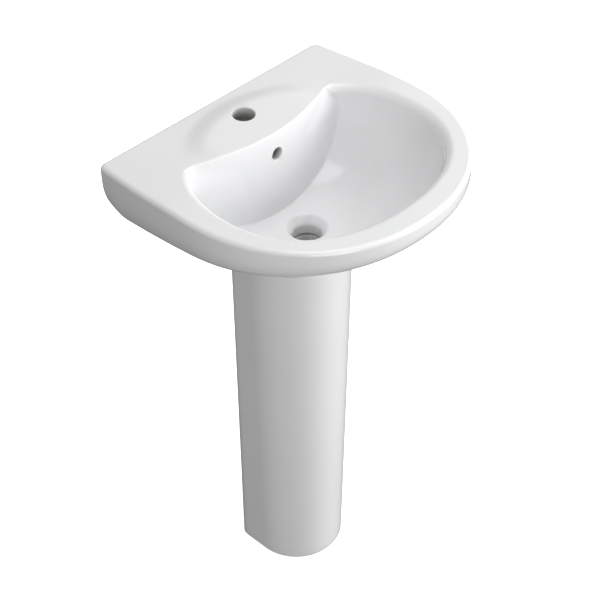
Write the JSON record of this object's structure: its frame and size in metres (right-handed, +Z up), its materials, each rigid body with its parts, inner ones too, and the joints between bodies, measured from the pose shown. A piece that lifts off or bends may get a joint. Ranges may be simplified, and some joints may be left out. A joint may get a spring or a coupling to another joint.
{
  "type": "pedestal sink",
  "caption": "One-piece glazed ceramic hand basin with a rounded front and a raised tap deck, standing on a hollow round-fronted pedestal, with its hidden wall fixing kit.",
  "frame": {"origin": "on the floor, on the middle plane, halfway between the front rim and the ends of the wall plugs", "axes": "+X to the right as a user faces it, +Y towards the wall, +Z up"},
  "size_m": [0.482, 0.482, 0.838],
  "materials": {
    "china": "white glossy glaze",
    "seal_rubber": "matt white rubber",
    "nylon_plug": "matt grey nylon",
    "white_plastic": "matt white plastic",
    "plated_steel": "bright zinc plate"
  },
  "bodies": {
    "root": {"basin": "china", "pedestal": "china", "pedestal_seal": "seal_rubber", "left_wall_plug": "nylon_plug", "left_wall_bolt": "plated_steel", "left_wall_bush": "white_plastic", "left_wall_washer": "plated_steel", "left_wall_nut": "plated_steel", "right_wall_plug": "nylon_plug", "right_wall_bolt": "plated_steel", "right_wall_bush": "white_plastic", "right_wall_washer": "plated_steel", "right_wall_nut": "plated_steel"}
  },
  "joints": []
}
